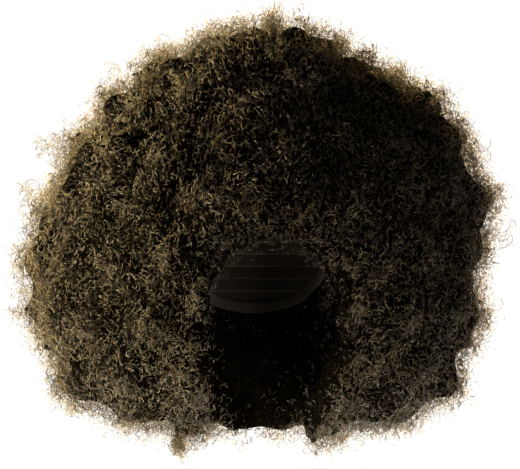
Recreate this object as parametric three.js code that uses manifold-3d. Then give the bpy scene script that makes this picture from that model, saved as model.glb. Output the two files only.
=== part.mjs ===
// A very large afro wig: a thin stretch cap with bound edges, and three groups of weft rows whose
// crimped hair stands out round the head, open in front of the face and below for the neck.
// Millimetres, +Z up. The wig faces -Y. The origin is where the crown of the head meets the cap.
import * as THREE from "three";
import { ConvexGeometry } from "three/addons/geometries/ConvexGeometry.js";
import { mergeVertices } from "three/addons/utils/BufferGeometryUtils.js";
import Module from "manifold-3d";

const wasm = await Module();
wasm.setup();

// Head that the wig fits
const HEAD_BREADTH = 152; // across, above the ears
const HEAD_LENGTH = 192; // forehead to the back of the head
const HEAD_HEIGHT = 226; // crown to chin
const WIDEST_DOWN = 95; // crown down to the level where the head is widest

// Cap and its edge tapes
const CAP_WALL = 1.5;
const TAPE_THICKNESS = 1.0;
const TAPE_WIDTH = 9; // how far the folded tape reaches up each side of the cap's edge
const TAPE_GAP = 0.5; // air between a tape and the cloth that it is folded over
const FRONT_TAPE_TURN = 120; // degrees from the front to each end of the front tape
const FIT_GAP = 0.3; // air between pieces that lie against each other

// Hair, measured out from the head
const SIDE_HAIR = 172; // beyond the side of the head
const FRONT_HAIR = 98; // beyond the forehead
const BACK_HAIR = 150; // beyond the back of the head
const TOP_HAIR = 149; // above the crown
const HAIR_DROP = 290; // crown down to the lowest hair
const CENTRE_DOWN = 77; // crown down to the level that the hair radiates from
const LUMP_PITCH = 64; // between the middles of neighbouring lumps of hair
const LUMP_RELIEF = 19; // from the top of a lump to the hollow beside it
const LUMP_DRIFT = 0.14; // how far a lump may stray along its row, as a share of the pitch
const LUMP_TILT = 4; // degrees that a lump may lie above or below its row
const LOWEST_ROW = -67; // degrees from level, about the hair's centre, to the lowest row of lumps
const LOCK_LENGTH = 60; // from a lock's tip to its root in the mass
const LOCK_WIDTH = 44; // across a lock of mean size
const LOCK_PROUD = 7; // how far the tip of a lock stands out of its lump
const LOCK_SHARE = 0.16; // share of the lumps that carry a lock of their own
const WIDTH_SPREAD = 0.2; // how far a lock's width may stray from the mean, as a share
const PARTING_GAP = 0.5; // air between two groups of rows
const PARTING_WAVE = 2; // degrees that a parting wanders up and down

// Opening for the face
const FACE_WIDTH = 124; // between the hair on both cheeks
const FACE_TOP = 75; // crown down to the top of the opening
const FACE_FLARE = 0.16; // how much wider the opening is at the front of the hair
const EDGE_RELIEF = 9; // how far the small locks round the face stand into the opening
const EDGE_LOCK_WIDTH = 36; // across one of them
const EDGE_LOCK_LENGTH = 30;
const EDGE_DRIFT = 0.25; // how far a small lock may stray to each side, as a share of their pitch

// Fineness of the surfaces
const CAP_STEPS = 36;
const CAP_ROWS = 6;
const NECK_STEPS = 4;
const LUMP_SPACING = 0.035; // least angle in radians between two points of the mass
const LOCK_SIDES = 5;
const PARTING_STEPS = 24;
const FACE_STEPS = 3;

const DEGREE = Math.PI / 180;
const DOME_POWER = 2.2; // fullness of the crown's curve
const PLAN_POWER = 2.25; // fullness of a level section of the head
const HAIR_POWER = 2.1; // fullness of a level section of the hair
const SCATTER = { seed: 12.9898, salt: 78.233, spread: 43758.5453 };
const CENTRE = new THREE.Vector3(0, 0, -CENTRE_DOWN);

// The cap's edge: azimuth in degrees from the front, and how far down it runs as a share of WIDEST_DOWN
const EDGE_ROWS = [
  { from_front: 0, down: 0.64 },
  { from_front: 25, down: 0.65 },
  { from_front: 40, down: 0.72 },
  { from_front: 54, down: 0.98 },
  { from_front: 70, down: 1.24 },
  { from_front: 86, down: 1.08 },
  { from_front: 102, down: 1.03 },
  { from_front: 122, down: 1.2 },
  { from_front: 145, down: 1.48 },
  { from_front: 165, down: 1.58 },
  { from_front: 180, down: 1.6 },
];

// Below the widest level: down as a share of HEAD_HEIGHT, reach as shares of the head's half sizes
const NECK_ROWS = [
  { down: 0.42, side: 1.0, front: 1.0, back: 1.0 },
  { down: 0.53, side: 0.98, front: 1.0, back: 0.96 },
  { down: 0.66, side: 0.9, front: 0.98, back: 0.84 },
  { down: 0.8, side: 0.78, front: 0.9, back: 0.7 },
  { down: 0.93, side: 0.66, front: 0.7, back: 0.62 },
  { down: 1.1, side: 0.6, front: 0.56, back: 0.62 },
  { down: 1.6, side: 0.6, front: 0.56, back: 0.64 },
];

// The hair's outline: height as a share from its lowest to its highest level, reach as shares of the
// hair's half sizes on each side of the head
const HAIR_ROWS = [
  { height: 0.0, left: 0.26, right: 0.42, front: 0.06, back: 0.46 },
  { height: 0.03, left: 0.48, right: 0.6, front: 0.3, back: 0.62 },
  { height: 0.06, left: 0.7, right: 0.72, front: 0.42, back: 0.71 },
  { height: 0.1, left: 0.84, right: 0.81, front: 0.54, back: 0.79 },
  { height: 0.15, left: 0.88, right: 0.86, front: 0.67, back: 0.85 },
  { height: 0.21, left: 0.92, right: 0.92, front: 0.79, back: 0.91 },
  { height: 0.3, left: 0.99, right: 0.97, front: 0.91, back: 0.97 },
  { height: 0.4, left: 1.0, right: 0.96, front: 0.97, back: 1.0 },
  { height: 0.5, left: 0.98, right: 0.98, front: 1.0, back: 1.0 },
  { height: 0.6, left: 0.94, right: 1.0, front: 0.99, back: 0.97 },
  { height: 0.7, left: 0.86, right: 0.95, front: 0.94, back: 0.9 },
  { height: 0.8, left: 0.72, right: 0.8, front: 0.84, back: 0.79 },
  { height: 0.88, left: 0.57, right: 0.64, front: 0.71, back: 0.65 },
  { height: 0.94, left: 0.47, right: 0.43, front: 0.56, back: 0.5 },
  { height: 0.98, left: 0.34, right: 0.34, front: 0.4, back: 0.36 },
  { height: 1.0, left: 0.19, right: 0.2, front: 0.24, back: 0.2 },
];

// Groups of weft rows from the crown down, each with the elevation in degrees of the parting below it
const TIERS = [
  { name: "hair_crown", parting: 24 },
  { name: "hair_sides", parting: -18 },
  { name: "hair_nape", parting: null },
];

// Tufts that break the outline: turn in degrees round the front view, from the wig's left side up over
// the top, how far the tip stands proud as a share of LUMP_RELIEF, and width as a share of LOCK_WIDTH
const OUTLINE_TUFTS = [
  { turn: 87, proud: 0.85, width: 0.5 },
  { turn: 70, proud: 0.3, width: 0.45 },
  { turn: 56, proud: 0.35, width: 0.5 },
  { turn: 31, proud: 0.3, width: 0.6 },
  { turn: 12, proud: 0.4, width: 0.7 },
  { turn: -26, proud: 0.3, width: 0.55 },
  { turn: 127, proud: 0.35, width: 0.5 },
  { turn: 150, proud: 0.3, width: 0.55 },
  { turn: 196, proud: 0.4, width: 0.6 },
  { turn: 206, proud: 0.3, width: 0.5 },
  { turn: 247, proud: 0.5, width: 0.5 },
  { turn: 285, proud: 0.5, width: 0.5 },
];

// One side of the face opening: down as a share from its top to the chin, half width as a share
const FACE_ROWS = [
  { down: 0.0, half: 0.0 },
  { down: 0.02, half: 0.34 },
  { down: 0.11, half: 0.68 },
  { down: 0.29, half: 0.9 },
  { down: 0.6, half: 1.0 },
  { down: 0.88, half: 0.9 },
  { down: 1.08, half: 0.72 },
  { down: 1.7, half: 0.7 },
];

// A lock from tip to root: how far along it, and half width, as shares of its length and width
const LOCK_PROFILE = [
  { along: 0.06, half: 0.27 },
  { along: 0.26, half: 0.48 },
  { along: 1.0, half: 0.3 },
];

// Rings of small locks in the face opening, as shares of the way forward through the hair
const EDGE_LOCK_RINGS = [0.56, 0.74, 0.92];

// A lump of the mass: how far out each ring of points lies, as a share of half the pitch, and how deep
// it sinks, as a share of the relief
const LUMP_PROFILE = [
  { out: 0.52, sink: 0.22 },
  { out: 0.98, sink: 1.0 },
];

const FINISHES = {
  cap: { color: 0x1b1714, roughness: 0.85, metalness: 0 },
  tape: { color: 0x151210, roughness: 0.75, metalness: 0 },
  elastic: { color: 0x2a231d, roughness: 0.8, metalness: 0 },
  hair: { color: 0x241c14, roughness: 0.6, metalness: 0 },
};

// Value of a column between two rows, along a smooth curve through all of them
function column(rows, place, name, at) {
  const last = rows.length - 1;
  if (at <= rows[0][place]) return rows[0][name];
  if (at >= rows[last][place]) return rows[last][name];
  const i = rows.findIndex((row) => row[place] > at) - 1;
  const slope = (k) => {
    const before = rows[Math.max(k - 1, 0)];
    const after = rows[Math.min(k + 1, last)];
    return (after[name] - before[name]) / (after[place] - before[place]);
  };
  const span = rows[i + 1][place] - rows[i][place];
  const t = (at - rows[i][place]) / span;
  const rest = 1 - t;
  return (
    rows[i][name] * rest * rest * (1 + 2 * t) +
    rows[i + 1][name] * t * t * (3 - 2 * t) +
    slope(i) * span * t * rest * rest -
    slope(i + 1) * span * t * t * rest
  );
}

// Scattered value from -1 to 1, always the same for the same seed and salt
function vary(seed, salt) {
  const far = Math.sin(seed * SCATTER.seed + salt * SCATTER.salt) * SCATTER.spread;
  return (far - Math.floor(far)) * 2 - 1;
}

// Distance out to a rounded outline with these four reaches, along an azimuth from the front
function planRadius(fromFront, reach, power) {
  const across = Math.sin(fromFront);
  const back = -Math.cos(fromFront);
  const side = across < 0 ? reach.left : reach.right;
  const depth = back < 0 ? reach.front : reach.back;
  return ((Math.abs(across) / side) ** power + (Math.abs(back) / depth) ** power) ** (-1 / power);
}

function planPoint(fromFront, radius, z) {
  return new THREE.Vector3(Math.sin(fromFront) * radius, -Math.cos(fromFront) * radius, z);
}

// Point of the head's surface, or of the surface that lies grow outside it, at a depth below the crown
function headPoint(fromFront, down, grow) {
  const above = Math.max(WIDEST_DOWN - down, 0) / (WIDEST_DOWN + grow);
  const dome = Math.max(1 - above ** DOME_POWER, 0) ** (1 / DOME_POWER);
  const level = Math.max(down, WIDEST_DOWN) - WIDEST_DOWN + NECK_ROWS[0].down * HEAD_HEIGHT;
  const share = (name) => column(NECK_ROWS, "down", name, level / HEAD_HEIGHT);
  const side = (HEAD_BREADTH / 2) * share("side") + grow;
  const reach = {
    left: side,
    right: side,
    front: (HEAD_LENGTH / 2) * share("front") + grow,
    back: (HEAD_LENGTH / 2) * share("back") + grow,
  };
  return planPoint(fromFront, dome * planRadius(fromFront, reach, PLAN_POWER), -down);
}

// Depth of the cap's edge below the crown
function edgeDown(fromFront) {
  const turn = Math.abs(THREE.MathUtils.euclideanModulo(fromFront / DEGREE + 180, 360) - 180);
  return WIDEST_DOWN * column(EDGE_ROWS, "from_front", "down", turn);
}

// Reach of the hair at a level, as four distances from the head's axis
function hairReach(z) {
  const at = (z + HAIR_DROP) / (TOP_HAIR + HAIR_DROP);
  const share = (name) => column(HAIR_ROWS, "height", name, at);
  const side = HEAD_BREADTH / 2 + SIDE_HAIR;
  return {
    left: side * share("left"),
    right: side * share("right"),
    front: (HEAD_LENGTH / 2 + FRONT_HAIR) * share("front"),
    back: (HEAD_LENGTH / 2 + BACK_HAIR) * share("back"),
  };
}

function direction(fromFront, elevation) {
  return planPoint(fromFront, Math.cos(elevation), Math.sin(elevation));
}

// Distance from the hair's centre to its outer form along a direction, found by halving
function formRadius(fromFront, elevation) {
  const ray = direction(fromFront, elevation);
  let near = 0;
  let far = SIDE_HAIR + BACK_HAIR + HAIR_DROP + TOP_HAIR;
  while (far - near > FIT_GAP) {
    const middle = (near + far) / 2;
    const point = ray.clone().multiplyScalar(middle).add(CENTRE);
    const out = Math.hypot(point.x, point.y);
    const inside =
      point.z < TOP_HAIR &&
      point.z > -HAIR_DROP &&
      out < planRadius(fromFront, hairReach(point.z), HAIR_POWER);
    if (inside) near = middle;
    else far = middle;
  }
  return near;
}

// Closed surface through rings of equal length. Each end is closed by its own faces between ring
// points, or onto one point.
function loftRings(rings, start, end) {
  const sides = rings[0].length;
  const points = rings.flat();
  const faces = [];
  const last = rings.length - 1;
  for (let ring = 0; ring < last; ring++) {
    for (let k = 0; k < sides; k++) {
      const here = ring * sides + k;
      const beside = ring * sides + ((k + 1) % sides);
      faces.push(here, beside, here + sides, beside, beside + sides, here + sides);
    }
  }
  if (start.isVector3) {
    const tip = points.push(start) - 1;
    for (let k = 0; k < sides; k++) faces.push(tip, (k + 1) % sides, k);
  } else {
    for (const [a, b, c] of start) faces.push(a, c, b);
  }
  if (end.isVector3) {
    const tip = points.push(end) - 1;
    for (let k = 0; k < sides; k++) faces.push(tip, last * sides + k, last * sides + ((k + 1) % sides));
  } else {
    for (const face of end) faces.push(...face.map((k) => last * sides + k));
  }
  return new THREE.BufferGeometry().setFromPoints(points).setIndex(faces);
}

// Closed geometry as a manifold solid, turned to face outwards
function solidOf(geometry) {
  const bare = new THREE.BufferGeometry().setAttribute("position", geometry.getAttribute("position"));
  bare.setIndex(geometry.getIndex());
  const merged = mergeVertices(bare, FIT_GAP / 1000);
  const corners = Array.from(merged.index.array);
  const triVerts = [];
  for (let i = 0; i < corners.length; i += 3) {
    const [a, b, c] = corners.slice(i, i + 3);
    if (a !== b && b !== c && c !== a) triVerts.push(a, b, c);
  }
  const vertProperties = merged.getAttribute("position").array;
  const make = (order) =>
    new wasm.Manifold(new wasm.Mesh({ numProp: 3, vertProperties, triVerts: new Uint32Array(order) }));
  const solid = make(triVerts);
  return solid.volume() > 0 ? solid : make(triVerts.toReversed());
}

function geometryOf(solid) {
  const mesh = solid.getMesh();
  return new THREE.BufferGeometry()
    .setAttribute("position", new THREE.BufferAttribute(mesh.vertProperties, 3))
    .setIndex(new THREE.BufferAttribute(mesh.triVerts, 1));
}

// Depth of the line that lies a distance up from the cap's edge, measured square to it
function downFromEdge(fromFront, up) {
  const run = 2 * DEGREE * headPoint(fromFront, edgeDown(fromFront), 0).setZ(0).length();
  const fall = edgeDown(fromFront + DEGREE) - edgeDown(fromFront - DEGREE);
  return edgeDown(fromFront) - (up * Math.hypot(run, fall)) / run;
}

// Rings of the head's surface, or of one that lies grow outside it, from the crown to the cap's edge
function headRings(grow) {
  const rings = [];
  const tapeTop = (fromFront) => downFromEdge(fromFront, TAPE_WIDTH) + grow;
  for (let row = 1; row <= CAP_ROWS; row++) {
    const share = 1 - Math.cos(((row / CAP_ROWS) * Math.PI) / 2);
    rings.push(headRing((fromFront) => tapeTop(fromFront) * share - grow, grow));
  }
  return [...rings, headRing(edgeDown, grow)];
}

function headRing(downAt, grow) {
  const turns = Array.from({ length: CAP_STEPS }, (_, k) => (k / CAP_STEPS) * 2 * Math.PI);
  return turns.map((fromFront) => headPoint(fromFront, downAt(fromFront), grow));
}

// The cap: down its outer face to the edge, then back up its inner face
function makeCap() {
  const rings = [...headRings(CAP_WALL), ...headRings(0).reverse()];
  return loftRings(rings, new THREE.Vector3(0, 0, CAP_WALL), new THREE.Vector3(0, 0, 0));
}

// A tape folded over the cap's edge between two azimuths in degrees. spare widens it on every side.
function makeTape(start, end, spare) {
  const inner = -TAPE_GAP;
  const outer = CAP_WALL + TAPE_GAP;
  const thick = TAPE_THICKNESS + spare;
  const top = TAPE_WIDTH + spare;
  const fold = [
    new THREE.Vector2(inner - thick, top),
    new THREE.Vector2(inner - thick, -TAPE_GAP - thick),
    new THREE.Vector2(outer + thick, -TAPE_GAP - thick),
    new THREE.Vector2(outer + thick, top),
    new THREE.Vector2(outer - spare, top),
    new THREE.Vector2(outer - spare, -TAPE_GAP + spare),
    new THREE.Vector2(inner + spare, -TAPE_GAP + spare),
    new THREE.Vector2(inner + spare, top),
  ];
  const steps = Math.round((CAP_STEPS * (end - start)) / 360);
  const rings = [];
  for (let k = 0; k <= steps; k++) {
    const fromFront = THREE.MathUtils.lerp(start, end, k / steps) * DEGREE;
    rings.push(fold.map(({ x, y }) => headPoint(fromFront, downFromEdge(fromFront, y), x)));
  }
  const ends = THREE.ShapeUtils.triangulateShape(fold, []);
  return loftRings(rings, ends, ends);
}

// Space of the head and neck inside the hair, with the cap on
function makeHeadSpace() {
  const grow = CAP_WALL + FIT_GAP;
  const lowest = HAIR_DROP + LOCK_LENGTH;
  const rings = headRings(grow);
  for (let step = 1; step <= NECK_STEPS; step++) {
    const share = step / NECK_STEPS;
    rings.push(headRing((fromFront) => THREE.MathUtils.lerp(edgeDown(fromFront), lowest, share), grow));
  }
  return loftRings(rings, new THREE.Vector3(0, 0, grow), new THREE.Vector3(0, 0, -lowest));
}

// Outline of the face opening at a share of the way forward through the hair, seen from the front,
// down its left side and up its right. spare widens it.
function faceOutline(forward, spare) {
  const chin = HEAD_HEIGHT - FACE_TOP;
  const left = FACE_ROWS.map(({ down, half }) => {
    const wide = half * ((FACE_WIDTH / 2) * (1 + FACE_FLARE * forward) + spare);
    return new THREE.Vector2(-wide, -FACE_TOP - down * chin + spare * (1 - half));
  });
  const right = left.slice(1).reverse();
  return [...left, ...right.map(({ x, y }) => new THREE.Vector2(-x, y))];
}

// Space in front of the face, open at the front of the hair and below it
function makeFaceSpace(spare) {
  const front = HEAD_LENGTH / 2 + FRONT_HAIR + LUMP_RELIEF;
  const rings = [];
  for (let k = 0; k <= FACE_STEPS; k++) {
    const forward = k / FACE_STEPS;
    const outline = faceOutline(forward, spare * Math.sqrt(forward));
    rings.push(outline.map(({ x, y }) => new THREE.Vector3(x, -front * forward, y)));
  }
  const ends = THREE.ShapeUtils.triangulateShape(faceOutline(0, 0), []);
  return loftRings(rings, ends, ends);
}

// One lock: a turned form with a round tip, laid along an axis with its tip at a point
function makeLock(tip, axis, width, length) {
  const profile = LOCK_PROFILE.map(({ along, half }) => new THREE.Vector2(half * width, -along * length));
  profile.unshift(new THREE.Vector2(0, 0));
  profile.push(new THREE.Vector2(0, -length));
  const lock = new THREE.LatheGeometry(profile, LOCK_SIDES);
  lock.applyQuaternion(new THREE.Quaternion().setFromUnitVectors(new THREE.Vector3(0, 1, 0), axis));
  return solidOf(lock.translate(tip.x, tip.y, tip.z));
}

// A lock of the outer form, radiating from the hair's centre
function outerLock(fromFront, elevation, proud, width) {
  const axis = direction(fromFront, elevation);
  const reach = formRadius(fromFront, elevation) + proud;
  return makeLock(axis.clone().multiplyScalar(reach).add(CENTRE), axis, width, LOCK_LENGTH);
}

// Directions of all lumps of the outer form, in rows from the crown down, about a pitch apart
function lumpPlaces() {
  const reach = (HEAD_BREADTH + HEAD_LENGTH + 2 * SIDE_HAIR + FRONT_HAIR + BACK_HAIR) / 4;
  const rows = Math.round(((90 - LOWEST_ROW) * DEGREE * reach) / LUMP_PITCH);
  const places = [];
  for (let row = 0; row <= rows; row++) {
    const elevation = THREE.MathUtils.lerp(90, LOWEST_ROW, row / rows);
    const round = 2 * Math.PI * Math.cos(elevation * DEGREE) * reach;
    const count = Math.max(Math.round(round / LUMP_PITCH), 1);
    for (let k = 0; k < count; k++) {
      const seed = places.length;
      const turn = ((k + (row % 2) / 2 + LUMP_DRIFT * vary(seed, 0)) * 2 * Math.PI) / count;
      const tilt = Math.min(elevation + LUMP_TILT * vary(seed, 1), 90) * DEGREE;
      places.push({ fromFront: turn, elevation: tilt, ray: direction(turn, tilt), seed });
    }
  }
  return places;
}

// Locks that stand proud of their lumps, and the tufts that break the outline
function makeOuterLocks() {
  const locks = lumpPlaces()
    .filter(({ seed }) => vary(seed, 2) < LOCK_SHARE * 2 - 1)
    .map(({ fromFront, elevation, seed }) => {
      const width = LOCK_WIDTH * (1 + WIDTH_SPREAD * vary(seed, 3));
      return outerLock(fromFront, elevation, LOCK_PROUD, width);
    });
  for (const { turn, proud, width } of OUTLINE_TUFTS) {
    const up = turn * DEGREE;
    const fromFront = Math.cos(up) < 0 ? -Math.PI / 2 : Math.PI / 2;
    const elevation = Math.atan2(Math.sin(up), Math.abs(Math.cos(up)));
    locks.push(outerLock(fromFront, elevation, proud * LUMP_RELIEF, width * LOCK_WIDTH));
  }
  return locks;
}

// Small locks on the wall of the face opening, in rings from the forehead to the front of the hair
function makeEdgeLocks() {
  const locks = [];
  const front = HEAD_LENGTH / 2 + FRONT_HAIR;
  for (const forward of EDGE_LOCK_RINGS) {
    const outline = faceOutline(forward, 0);
    for (let k = 1; k + 1 < outline.length; k++) {
      const seed = locks.length;
      const along = outline[k + 1].clone().sub(outline[k - 1]).normalize();
      const place = outline[k].clone().lerp(outline[k + 1], EDGE_DRIFT * (1 + vary(seed, 0)));
      const tip = new THREE.Vector3(place.x, -front * forward, place.y);
      const reach = planRadius(Math.atan2(tip.x, -tip.y), hairReach(tip.z), HAIR_POWER);
      if (Math.hypot(tip.x, tip.y) > reach - LUMP_RELIEF || tip.z < -HAIR_DROP + LUMP_RELIEF) continue;
      const axis = new THREE.Vector3(-along.y, 0, along.x).normalize();
      const width = EDGE_LOCK_WIDTH * (1 + WIDTH_SPREAD * vary(seed, 1));
      locks.push(makeLock(tip, axis, width, EDGE_LOCK_LENGTH));
    }
  }
  return locks;
}

// Points of one lump on the unit sphere, with how deep each sinks as a share of the relief
function lumpPoints({ ray, seed }) {
  const side = new THREE.Vector3(0, 0, 1).cross(ray);
  const across = (side.lengthSq() > 0 ? side : new THREE.Vector3(1, 0, 0)).normalize();
  const along = ray.clone().cross(across);
  const points = [{ ray, sink: 0 }];
  LUMP_PROFILE.forEach(({ out, sink }, ring) => {
    for (let k = 0; k < LOCK_SIDES; k++) {
      const turn = ((k + ring / 2 + vary(seed, 5) / 2) * 2 * Math.PI) / LOCK_SIDES;
      const lean = (out * LUMP_PITCH) / 2 / (HEAD_BREADTH / 2 + SIDE_HAIR);
      const aside = across.clone().multiplyScalar(Math.cos(turn)).addScaledVector(along, Math.sin(turn));
      points.push({ ray: ray.clone().addScaledVector(aside, lean).normalize(), sink });
    }
  });
  return points;
}

// The mass that the locks grow from: a globe of lumps, drawn out to the outer form from the web of
// faces between the tips, flanks and feet of the lumps
function makeMass() {
  const lumps = lumpPlaces();
  const points = [];
  for (const lump of lumps) {
    for (const point of lumpPoints(lump)) {
      const own = point.ray.angleTo(lump.ray);
      const free = lumps.every((other) => other === lump || other.ray.angleTo(point.ray) > own);
      const clear = points.every((other) => other.ray.angleTo(point.ray) > LUMP_SPACING);
      if (free && clear) points.push(point);
    }
  }
  const web = new ConvexGeometry(points.map((point) => point.ray));
  const place = web.getAttribute("position");
  for (let i = 0; i < place.count; i++) {
    const ray = new THREE.Vector3().fromBufferAttribute(place, i).normalize();
    const { sink } = points.find((point) => point.ray.distanceTo(ray) < LUMP_SPACING / 4);
    const form = formRadius(Math.atan2(ray.x, -ray.y), Math.asin(THREE.MathUtils.clamp(ray.z, -1, 1)));
    ray.multiplyScalar(form - LUMP_RELIEF * sink).add(CENTRE);
    place.setXYZ(i, ray.x, ray.y, ray.z);
  }
  return solidOf(web);
}

// Everything above a parting: the cone that runs out from the hair's centre at an elevation
function aboveParting(elevation, lift) {
  const far = SIDE_HAIR + BACK_HAIR + HAIR_DROP + TOP_HAIR;
  const rim = [];
  const roof = [];
  for (let k = 0; k < PARTING_STEPS; k++) {
    const fromFront = (k / PARTING_STEPS) * 2 * Math.PI;
    const tilt = elevation + PARTING_WAVE * vary(k, 0);
    rim.push(direction(fromFront, tilt * DEGREE).multiplyScalar(far).add(CENTRE));
    roof.push(rim[k].clone().setZ(2 * far));
  }
  const cone = loftRings([rim, roof], CENTRE, new THREE.Vector3(0, 0, 2 * far));
  return solidOf(cone.translate(0, 0, lift));
}

// The solid without the loose ends of locks that a cut leaves
function largestPiece(solid) {
  return solid.decompose().reduce((best, piece) => (piece.volume() > best.volume() ? piece : best));
}

// The hair, cut clear of the head, cap, tapes and face, and parted into its groups of rows
function makeHair(tapes) {
  const opened = wasm.Manifold.union([makeMass(), ...makeOuterLocks()]).subtract(
    solidOf(makeFaceSpace(EDGE_RELIEF)),
  );
  const clear = wasm.Manifold.union([solidOf(makeHeadSpace()), ...tapes]);
  let rest = wasm.Manifold.union([opened, ...makeEdgeLocks()]).subtract(clear);
  return TIERS.map(({ name, parting }) => {
    if (parting === null) return { name, solid: largestPiece(rest) };
    const solid = largestPiece(rest.intersect(aboveParting(parting, PARTING_GAP / 2)));
    rest = rest.subtract(aboveParting(parting, -PARTING_GAP / 2));
    return { name, solid };
  });
}

const wig = new THREE.Group();

function addPiece(name, solid, finish) {
  const mesh = new THREE.Mesh(geometryOf(solid), new THREE.MeshStandardMaterial(finish));
  mesh.name = name;
  wig.add(mesh);
}

const tapeGap = FIT_GAP / HEAD_BREADTH / DEGREE;
const tapeSpans = {
  front_binding: [-FRONT_TAPE_TURN, FRONT_TAPE_TURN],
  nape_elastic: [FRONT_TAPE_TURN + 2 * tapeGap, 360 - FRONT_TAPE_TURN - 2 * tapeGap],
};
addPiece("cap", solidOf(makeCap()), FINISHES.cap);
addPiece("front_binding", solidOf(makeTape(...tapeSpans.front_binding, 0)), FINISHES.tape);
addPiece("nape_elastic", solidOf(makeTape(...tapeSpans.nape_elastic, 0)), FINISHES.elastic);
const tapeSpace = Object.values(tapeSpans).map(([start, end]) =>
  solidOf(makeTape(start - tapeGap, end + tapeGap, FIT_GAP)),
);
for (const { name, solid } of makeHair(tapeSpace)) addPiece(name, solid, FINISHES.hair);

export default wig;
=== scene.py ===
"""Looks for a very large round afro wig: crimped curls in weft groups over a light stretch cap."""

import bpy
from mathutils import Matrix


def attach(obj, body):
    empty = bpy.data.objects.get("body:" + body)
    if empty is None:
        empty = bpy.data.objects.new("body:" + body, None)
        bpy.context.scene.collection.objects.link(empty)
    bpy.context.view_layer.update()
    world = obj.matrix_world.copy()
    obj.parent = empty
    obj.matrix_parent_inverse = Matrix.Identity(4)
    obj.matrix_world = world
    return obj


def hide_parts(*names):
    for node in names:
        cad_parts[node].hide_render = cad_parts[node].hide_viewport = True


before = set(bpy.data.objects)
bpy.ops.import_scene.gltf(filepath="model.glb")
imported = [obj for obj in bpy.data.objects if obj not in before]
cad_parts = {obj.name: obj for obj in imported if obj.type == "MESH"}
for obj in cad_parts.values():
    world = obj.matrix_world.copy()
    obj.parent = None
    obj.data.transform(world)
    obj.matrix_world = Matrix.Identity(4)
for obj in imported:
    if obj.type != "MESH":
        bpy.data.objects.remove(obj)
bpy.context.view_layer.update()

import logging
import math
from dataclasses import dataclass, field
from enum import Enum
from typing import Union

import bmesh
import bpy
import numpy as np
from mathutils import Vector
from mathutils.bvhtree import BVHTree

LOG = logging.getLogger("afro_wig")
BAKE_MAP = "OFBake"
HAIR_CENTRE = (0.0, 0.0, -0.077)
CAP_NODES = ("cap", "front_binding", "nape_elastic")
BEDS = ("Under", "Fleece", "Fringe")
WELD = 1e-5
CLUMP_DETAIL = 3.0
TAPER_POWER = 0.4
Body = bpy.types.Object
Mesh = bpy.types.Mesh
Material = bpy.types.Material
Number = Union[float, "Value"]
Colour = tuple[float, float, float]
Place = tuple[float, float, float]
Pair = tuple[float, float]


def linked(name: str, data: bpy.types.ID) -> Body:
    """A new object in the scene that holds the given data."""
    made = bpy.data.objects.new(name, data)
    bpy.context.scene.collection.objects.link(made)
    return made


class Value:
    """One output of a node. Arithmetic on it adds Math nodes to its graph."""

    def __init__(self, graph: "Graph", socket: bpy.types.NodeSocket) -> None:
        """Wraps a socket of a node in a graph."""
        self.graph = graph
        self.socket = socket

    def __getitem__(self, name: str) -> "Value":
        """Another output of the same node, by name."""
        return Value(self.graph, self.socket.node.outputs[name])

    def math(self, operation: str, *operands: Number, clamp: bool = False) -> "Value":
        """Adds a Math node.

        Args:
            operation: The node's operation.
            operands: Its operands in order, this value among them.
            clamp: True to keep the result between 0 and 1.

        Returns:
            The node's result.
        """
        settings = {"operation": operation, "use_clamp": clamp}
        return self.graph.node("ShaderNodeMath", settings, dict(enumerate(operands)))

    def __add__(self, other: Number) -> "Value":
        """This value plus another."""
        return self.math("ADD", self, other)

    def __radd__(self, other: float) -> "Value":
        """A number plus this value."""
        return self.math("ADD", other, self)

    def __sub__(self, other: Number) -> "Value":
        """This value less another."""
        return self.math("SUBTRACT", self, other)

    def __rsub__(self, other: float) -> "Value":
        """A number less this value."""
        return self.math("SUBTRACT", other, self)

    def __mul__(self, other: Number) -> "Value":
        """This value times another."""
        return self.math("MULTIPLY", self, other)

    def __rmul__(self, other: float) -> "Value":
        """A number times this value."""
        return self.math("MULTIPLY", other, self)

    def __rtruediv__(self, other: float) -> "Value":
        """A number over this value."""
        return self.math("DIVIDE", other, self)

    def __pow__(self, other: Number) -> "Value":
        """This value raised to a power."""
        return self.math("POWER", self, other)

    def __gt__(self, other: Number) -> "Value":
        """1 where this value is the greater, else 0."""
        return self.math("GREATER_THAN", self, other)

    def sine(self) -> "Value":
        """The sine of this value, in radians."""
        return self.math("SINE", self)

    def size(self) -> "Value":
        """This value without its sign."""
        return self.math("ABSOLUTE", self)

    def within(self, low: float, high: float) -> "Value":
        """This value's place between two others, kept from 0 to 1."""
        return self.math("DIVIDE", self - low, high - low, clamp=True)

    def above(self, floor: float) -> "Value":
        """This value, from 0 to 1, laid between a floor and 1."""
        return floor + (1.0 - floor) * self


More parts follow.
